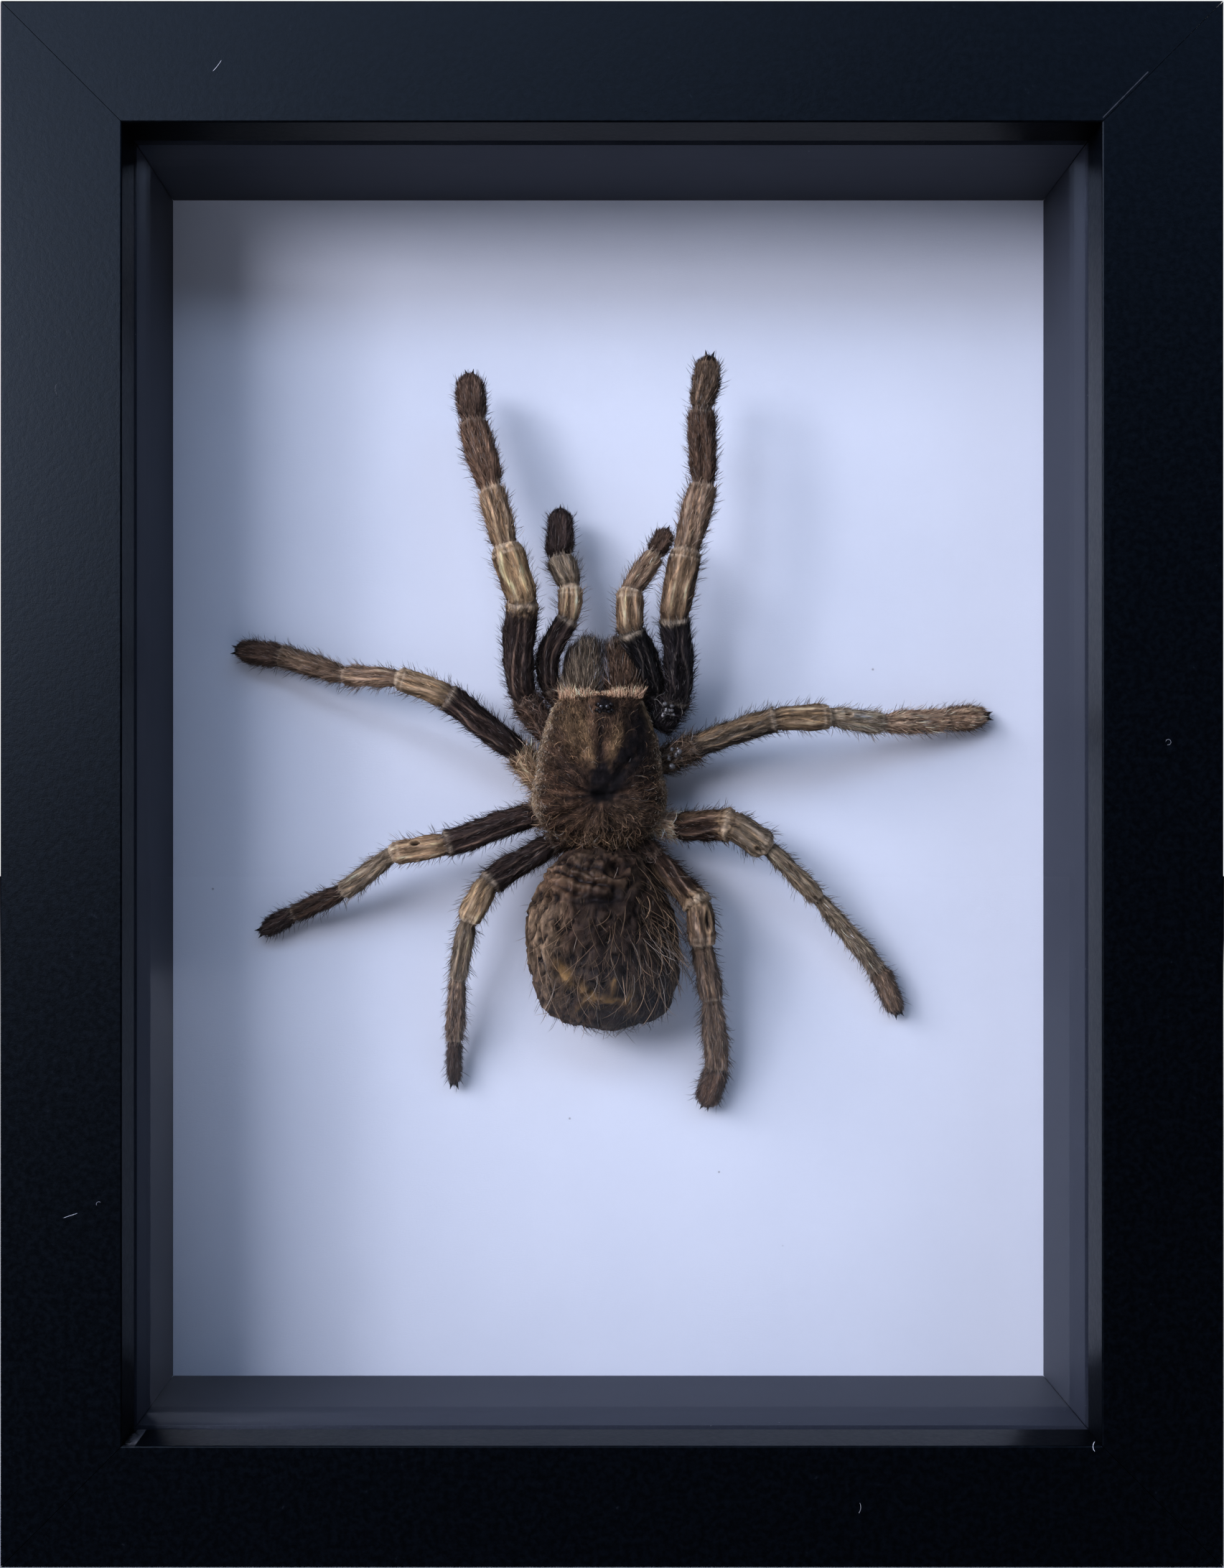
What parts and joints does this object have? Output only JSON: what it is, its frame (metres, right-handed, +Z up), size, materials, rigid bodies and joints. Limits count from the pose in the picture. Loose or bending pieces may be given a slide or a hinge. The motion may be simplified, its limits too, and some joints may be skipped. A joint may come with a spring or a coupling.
{
  "type": "framed tarantula specimen",
  "caption": "Dried tarantula fixed to a white card in a deep black shadow-box frame with a glass front and a hardboard back.",
  "frame": {"origin": "under the middle of the box, on the surface it stands on", "axes": "+Z up along the tall side, +X to the right seen from the front, the glass front faces -Y"},
  "size_m": [0.1784, 0.042, 0.2286],
  "materials": {
    "rail_black": "satin black foil with a fine grain",
    "spacer_black": "smooth satin black",
    "glass": "clear polished",
    "white_card": "matt white",
    "hardboard": "pressed brown hardboard",
    "steel": "zinc plated",
    "dried_skin": "dry, wrinkled and hairy",
    "dried_limb": "dry, creased and hairy, tan towards the joints",
    "glue": "hard dried glue"
  },
  "bodies": {
    "root": {"frame_rail_top": "rail_black", "frame_rail_bottom": "rail_black", "frame_rail_left": "rail_black", "frame_rail_right": "rail_black", "glass_pane": "glass", "spacer_top": "spacer_black", "spacer_bottom": "spacer_black", "spacer_left": "spacer_black", "spacer_right": "spacer_black", "backing_card": "white_card", "back_panel": "hardboard", "tab_top_1": "steel", "tab_top_2": "steel", "tab_bottom_1": "steel", "tab_bottom_2": "steel", "tab_left_1": "steel", "tab_left_2": "steel", "tab_right_1": "steel", "tab_right_2": "steel", "hanger": "steel", "hanger_nail_left": "steel", "hanger_nail_right": "steel", "prosoma": "dried_skin", "abdomen": "dried_skin", "chelicera_left": "dried_skin", "chelicera_right": "dried_skin", "pedipalp_left": "dried_limb", "pedipalp_right": "dried_limb", "leg_left_1": "dried_limb", "leg_left_2": "dried_limb", "leg_left_3": "dried_limb", "leg_left_4": "dried_limb", "leg_right_1": "dried_limb", "leg_right_2": "dried_limb", "leg_right_3": "dried_limb", "leg_right_4": "dried_limb", "glue_pad": "glue"}
  },
  "joints": []
}
